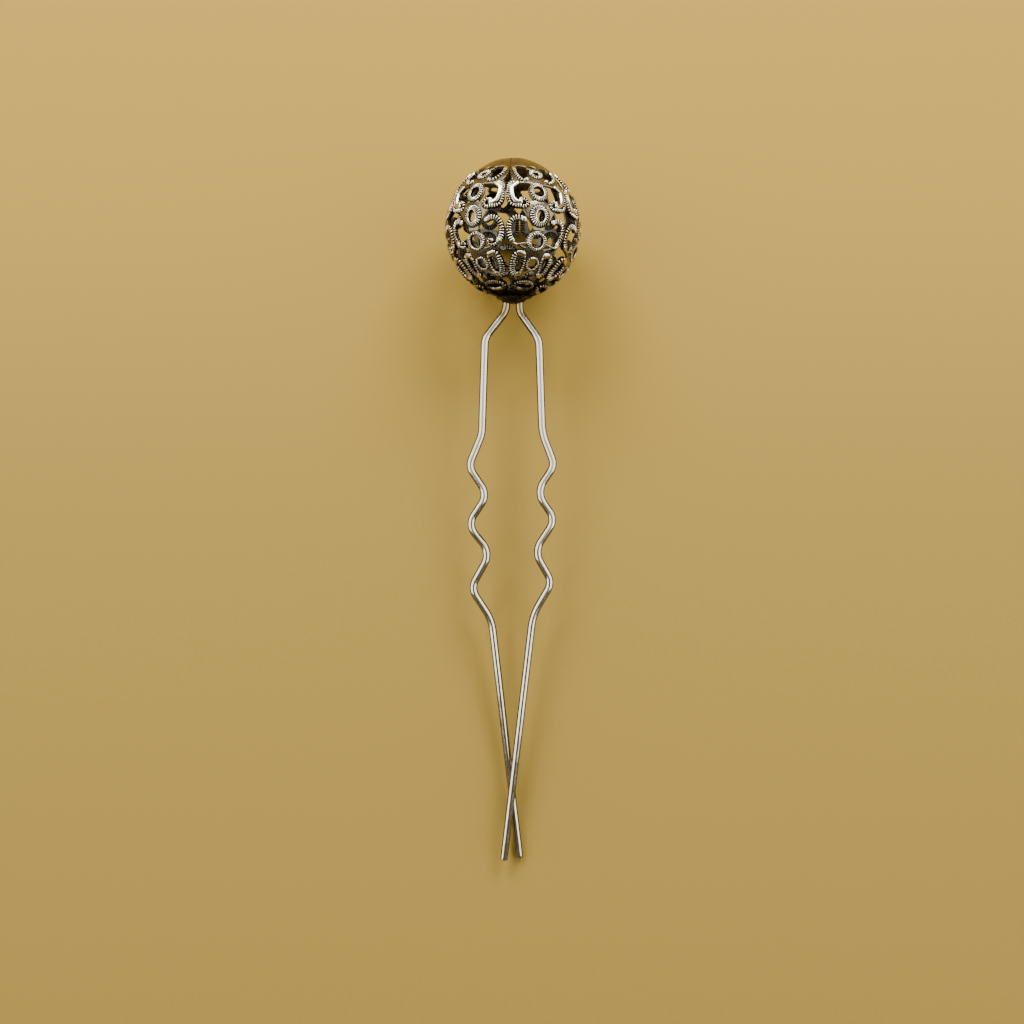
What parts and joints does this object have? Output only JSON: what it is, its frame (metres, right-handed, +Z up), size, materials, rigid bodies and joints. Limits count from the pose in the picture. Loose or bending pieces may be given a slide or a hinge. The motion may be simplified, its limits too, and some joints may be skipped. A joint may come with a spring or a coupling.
{
  "type": "hairpin",
  "caption": "Two-legged hairpin of waved wire with an openwork ball of ribbed rings and scrolls soldered on its top.",
  "frame": {"origin": "on the table, under the middle of the lying hairpin's box", "axes": "+Z up from the table, +Y along the pin from the tips to the ball, +X to the right seen from above"},
  "size_m": [0.02, 0.1052, 0.0199],
  "materials": {
    "antique_silver": "antiqued silver plate: bright on the ribs, with dark brown patina in the recesses",
    "bright_wire": "bright nickel-plated wire with fine scuffs, dark grey solder under the ball"
  },
  "bodies": {
    "root": {"filigree_ball": "antique_silver", "pin_wire": "bright_wire"}
  },
  "joints": []
}
